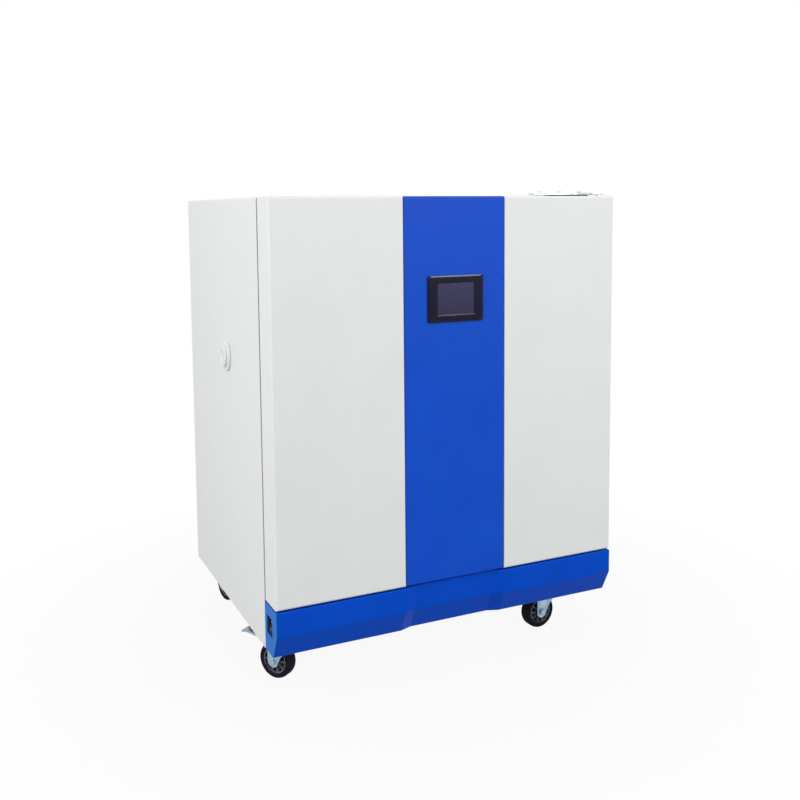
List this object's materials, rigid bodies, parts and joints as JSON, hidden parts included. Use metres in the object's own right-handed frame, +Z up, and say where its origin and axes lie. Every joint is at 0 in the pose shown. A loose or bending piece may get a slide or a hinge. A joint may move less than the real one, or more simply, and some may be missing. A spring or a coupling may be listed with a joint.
{
  "type": "shaking incubator",
  "caption": "Floor-standing shaking incubator on swivel casters: insulated chamber with a hinged front door, a touch screen and an orbiting tray of flask clamps.",
  "frame": {"origin": "on the floor, under the middle of the whole object's extents", "axes": "+Z up; -Y towards the user, the door's side; +X to the right as seen by the user, the side of the door's hinges"},
  "size_m": [0.7656, 0.628, 0.976],
  "materials": {
    "white_coat": "satin",
    "blue_coat": "satin",
    "stainless": "satin",
    "zinc": "satin",
    "steel": "satin",
    "aluminium": "satin",
    "black_plastic": "satin",
    "black_metal": "matte",
    "grey_plastic": "matte",
    "rubber": "matte",
    "white_rubber": "matte",
    "foam": "matte",
    "foam_panel": "satin",
    "screen_glass": "gloss"
  },
  "bodies": {
    "cabinet": {"outer_casing": "white_coat", "rear_cover": "white_coat", "front_frame": "white_coat", "base_frame": "steel", "chamber_liner": "stainless", "insulation": "foam", "skirt": "blue_coat", "switch_body": "black_plastic", "port_sleeve": "white_coat", "top_hinge_bracket": "zinc", "bottom_hinge_bracket": "zinc", "drive_plate": "steel", "main_bearing": "aluminium", "left_idler_bearing": "aluminium", "right_idler_bearing": "aluminium", "drive_motor": "black_metal", "drive_belt": "rubber", "air_duct_panel": "stainless", "fan_motor": "black_metal", "heater": "steel", "temperature_probe": "stainless", "control_box": "grey_plastic", "mains_inlet": "black_plastic", "caster_plate_front_left": "zinc", "caster_plate_front_right": "zinc", "caster_plate_rear_left": "zinc", "caster_plate_rear_right": "zinc"},
    "power_switch": {"power_rocker": "black_plastic"},
    "port_stopper": {"port_plug": "white_rubber"},
    "door": {"door_left_panel": "white_coat", "door_right_panel": "white_coat", "door_stripe": "blue_coat", "door_core": "foam_panel", "door_gasket": "white_rubber", "door_liner": "stainless", "screen_bezel": "black_plastic", "touch_screen": "screen_glass"},
    "main_crank": {"main_crankshaft": "steel", "driven_pulley": "aluminium"},
    "left_idler": {"left_idler_crank": "steel"},
    "right_idler": {"right_idler_crank": "steel"},
    "platform": {"platform_carrier": "aluminium", "shaking_tray": "stainless", "clamp_plate": "stainless"},
    "motor_rotor": {"motor_pulley": "aluminium"},
    "fan": {"fan_wheel": "aluminium"},
    "fork_front_left": {"caster_fork_front_left": "zinc"},
    "fork_front_right": {"caster_fork_front_right": "zinc"},
    "fork_rear_left": {"caster_fork_rear_left": "zinc"},
    "fork_rear_right": {"caster_fork_rear_right": "zinc"},
    "wheel_front_left": {"wheel_hub_front_left": "black_plastic", "wheel_tyre_front_left": "rubber"},
    "wheel_front_right": {"wheel_hub_front_right": "black_plastic", "wheel_tyre_front_right": "rubber"},
    "wheel_rear_left": {"wheel_hub_rear_left": "black_plastic", "wheel_tyre_rear_left": "rubber"},
    "wheel_rear_right": {"wheel_hub_rear_right": "black_plastic", "wheel_tyre_rear_right": "rubber"},
    "pedal_front_left": {"brake_pedal_front_left": "zinc"},
    "pedal_front_right": {"brake_pedal_front_right": "zinc"}
  },
  "joints": [
    {"name": "door_hinge", "type": "hinge", "parent": "cabinet", "child": "door", "pos_m": [0.36075, -0.288, 0.203], "axis": [0, 0, 1], "range_deg": [0, 110]},
    {"name": "power_rocker_tilt", "type": "hinge", "parent": "cabinet", "child": "power_switch", "pos_m": [-0.36225, -0.27, 0.16], "axis": [0, -1, 0], "range_deg": [0, 18]},
    {"name": "port_plug_slide", "type": "slide", "parent": "cabinet", "child": "port_stopper", "axis": [-1, 0, 0], "range_m": [0, 0.045]},
    {"name": "main_crank_spin", "type": "hinge", "parent": "cabinet", "child": "main_crank", "pos_m": [0.00525, -0.036, 0.296], "axis": [0, 0, 1], "continuous": true},
    {"name": "platform_orbit", "type": "hinge", "parent": "main_crank", "child": "platform", "pos_m": [0.01825, -0.036, 0.311], "axis": [0, 0, 1], "continuous": true},
    {"name": "left_idler_spin", "type": "hinge", "parent": "cabinet", "child": "left_idler", "pos_m": [-0.16475, 0.034, 0.296], "axis": [0, 0, 1], "continuous": true},
    {"name": "right_idler_spin", "type": "hinge", "parent": "cabinet", "child": "right_idler", "pos_m": [0.17525, 0.034, 0.296], "axis": [0, 0, 1], "continuous": true},
    {"name": "motor_spin", "type": "hinge", "parent": "cabinet", "child": "motor_rotor", "pos_m": [0.20525, -0.126, 0.152], "axis": [0, 0, 1], "continuous": true},
    {"name": "fan_spin", "type": "hinge", "parent": "cabinet", "child": "fan", "pos_m": [0.00525, 0.2305, 0.61], "axis": [0, -1, 0], "continuous": true},
    {"name": "swivel_front_left", "type": "hinge", "parent": "cabinet", "child": "fork_front_left", "pos_m": [-0.30225, -0.184, 0.0865], "axis": [0, 0, 1], "continuous": true},
    {"name": "swivel_front_right", "type": "hinge", "parent": "cabinet", "child": "fork_front_right", "pos_m": [0.31275, -0.184, 0.0865], "axis": [0, 0, 1], "continuous": true},
    {"name": "swivel_rear_left", "type": "hinge", "parent": "cabinet", "child": "fork_rear_left", "pos_m": [-0.30225, 0.237, 0.0865], "axis": [0, 0, 1], "continuous": true},
    {"name": "swivel_rear_right", "type": "hinge", "parent": "cabinet", "child": "fork_rear_right", "pos_m": [0.31275, 0.237, 0.0865], "axis": [0, 0, 1], "continuous": true},
    {"name": "wheel_spin_front_left", "type": "hinge", "parent": "fork_front_left", "child": "wheel_front_left", "pos_m": [-0.32175, -0.15615, 0.0375], "axis": [-0.8192, -0.5736, 0], "continuous": true},
    {"name": "wheel_spin_front_right", "type": "hinge", "parent": "fork_front_right", "child": "wheel_front_right", "pos_m": [0.27894, -0.18755, 0.0375], "axis": [0.1045, -0.9945, 0], "continuous": true},
    {"name": "wheel_spin_rear_left", "type": "hinge", "parent": "fork_rear_left", "child": "wheel_rear_left", "pos_m": [-0.30903, 0.27032, 0.0375], "axis": [-0.9799, -0.1994, 0], "continuous": true},
    {"name": "wheel_spin_rear_right", "type": "hinge", "parent": "fork_rear_right", "child": "wheel_rear_right", "pos_m": [0.32871, 0.26702, 0.0375], "axis": [-0.8829, 0.4695, 0], "continuous": true},
    {"name": "brake_front_left", "type": "hinge", "parent": "fork_front_left", "child": "pedal_front_left", "pos_m": [-0.3229, -0.15451, 0.08], "axis": [-0.8192, -0.5736, 0], "range_deg": [0, 10]},
    {"name": "brake_front_right", "type": "hinge", "parent": "fork_front_right", "child": "pedal_front_right", "pos_m": [0.27695, -0.18776, 0.08], "axis": [0.1045, -0.9945, 0], "range_deg": [0, 10]}
  ],
  "couplings": [
    {"joint": "platform_orbit", "follows": "main_crank_spin", "ratio": -1},
    {"joint": "left_idler_spin", "follows": "main_crank_spin", "ratio": 1},
    {"joint": "right_idler_spin", "follows": "main_crank_spin", "ratio": 1},
    {"joint": "motor_spin", "follows": "main_crank_spin", "ratio": 3.5417}
  ]
}
